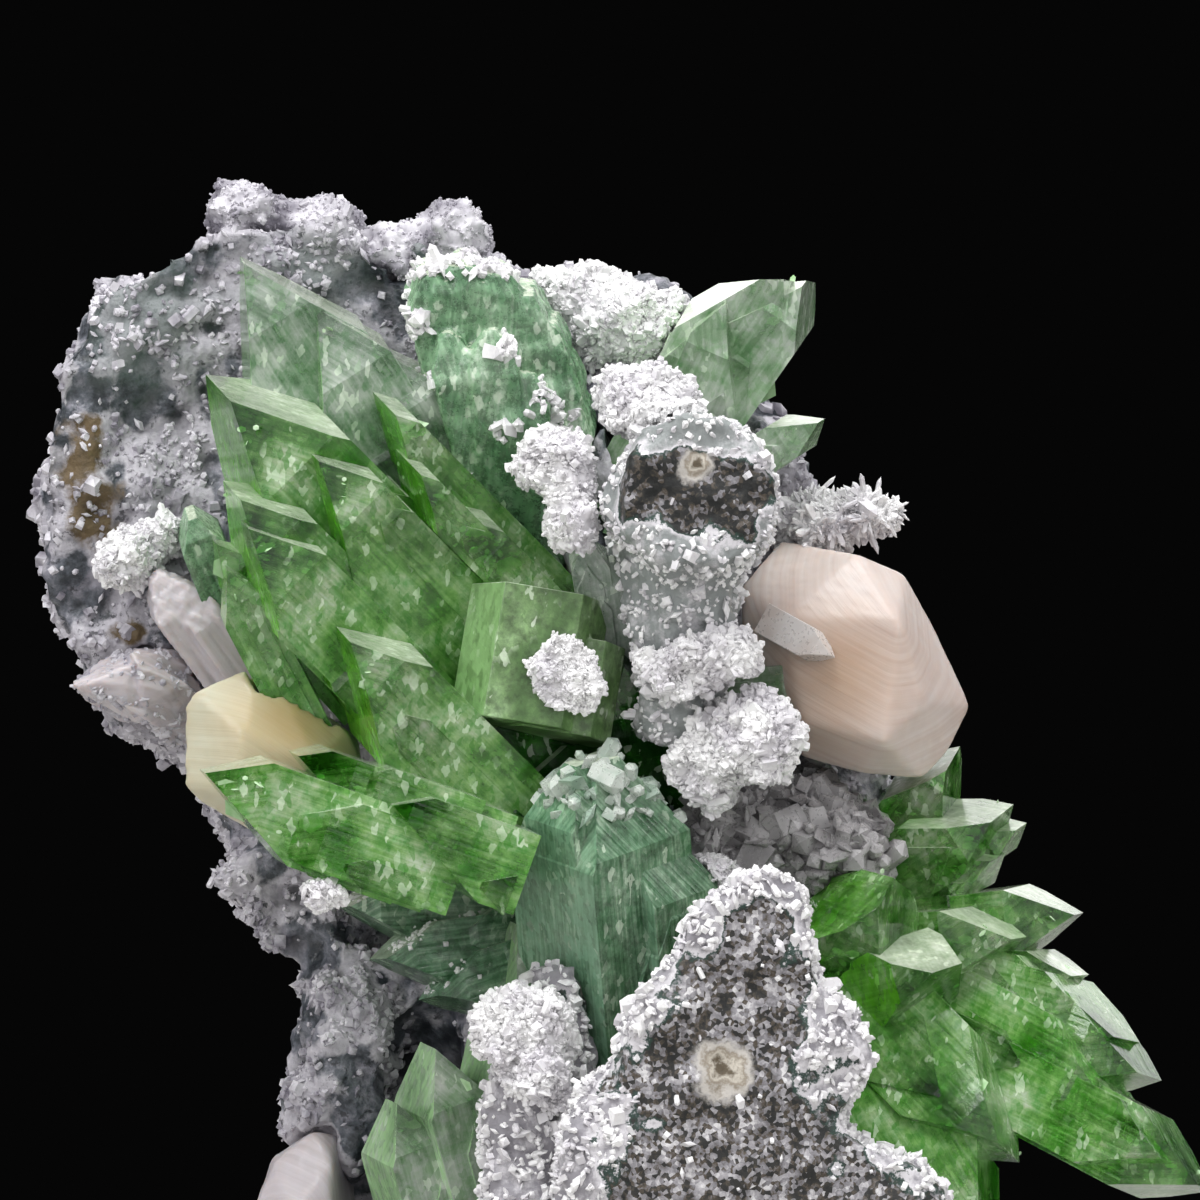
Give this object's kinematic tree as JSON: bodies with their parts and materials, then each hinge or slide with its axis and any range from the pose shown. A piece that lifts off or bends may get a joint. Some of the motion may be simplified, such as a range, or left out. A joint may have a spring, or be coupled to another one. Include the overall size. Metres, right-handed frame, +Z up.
{
  "type": "apophyllite crystal cluster",
  "caption": "Cabinet mineral specimen: sprays of green apophyllite crystals with cream stilbite and white druse on a rough basalt rock with a flat cut base.",
  "frame": {"origin": "middle of the flat cut that the rock rests on", "axes": "+Z up, +Y away from the viewer of the picture, +X to that viewer's right"},
  "size_m": [0.1175, 0.0714, 0.1191],
  "materials": {
    "apophyllite_green": "glassy green crystal, see-through, with veils inside",
    "apophyllite_frosted": "frosted pale green crystal",
    "apophyllite_teal": "dull teal crystal with fine lengthwise lines",
    "stilbite_cream": "pearly cream to peach, striated",
    "clear_crystal": "clear pale crystal",
    "chalcedony_grey": "grey sugary chalcedony and quartz with dark cores",
    "druse_white": "white druse of fine crystals",
    "basalt": "rough dark basalt under a grey druzy coat"
  },
  "bodies": {
    "root": {"apophyllite_left_fan": "apophyllite_green", "apophyllite_upper_left": "apophyllite_green", "apophyllite_front_left": "apophyllite_green", "apophyllite_centre": "apophyllite_green", "apophyllite_centre_chip": "apophyllite_green", "apophyllite_small_clear": "apophyllite_green", "apophyllite_upper_right": "apophyllite_green", "apophyllite_upper_right_small": "apophyllite_green", "apophyllite_right_spray_top": "apophyllite_green", "apophyllite_right_spray_middle": "apophyllite_green", "apophyllite_right_spray_low": "apophyllite_green", "apophyllite_right_spray_front": "apophyllite_green", "apophyllite_lower_left": "apophyllite_green", "apophyllite_block": "apophyllite_frosted", "apophyllite_frosted_dome": "apophyllite_frosted", "apophyllite_dull_crystal": "apophyllite_frosted", "apophyllite_teal_blade": "apophyllite_teal", "apophyllite_dark_spray": "apophyllite_teal", "stilbite_right": "stilbite_cream", "stilbite_left": "stilbite_cream", "stilbite_pale_column": "stilbite_cream", "stilbite_grey_point": "stilbite_cream", "stilbite_low_left": "stilbite_cream", "clear_crystal_on_stilbite": "clear_crystal", "chalcedony_centre_stalactite": "chalcedony_grey", "chalcedony_front_pillar": "chalcedony_grey", "chalcedony_druzy_column": "chalcedony_grey", "quartz_grey": "chalcedony_grey", "druse_crest": "druse_white", "druse_crest_knob": "druse_white", "druse_upper_right": "druse_white", "druse_stalactite_cap": "druse_white", "druse_stalactite_side": "druse_white", "druse_centre_high": "druse_white", "druse_centre_low": "druse_white", "druse_right": "druse_white", "druse_left": "druse_white", "druse_front_tuft": "druse_white", "druse_on_block": "druse_white", "druse_column_top": "druse_white", "druse_ledge": "druse_white", "basalt_rock": "basalt"}
  },
  "joints": []
}
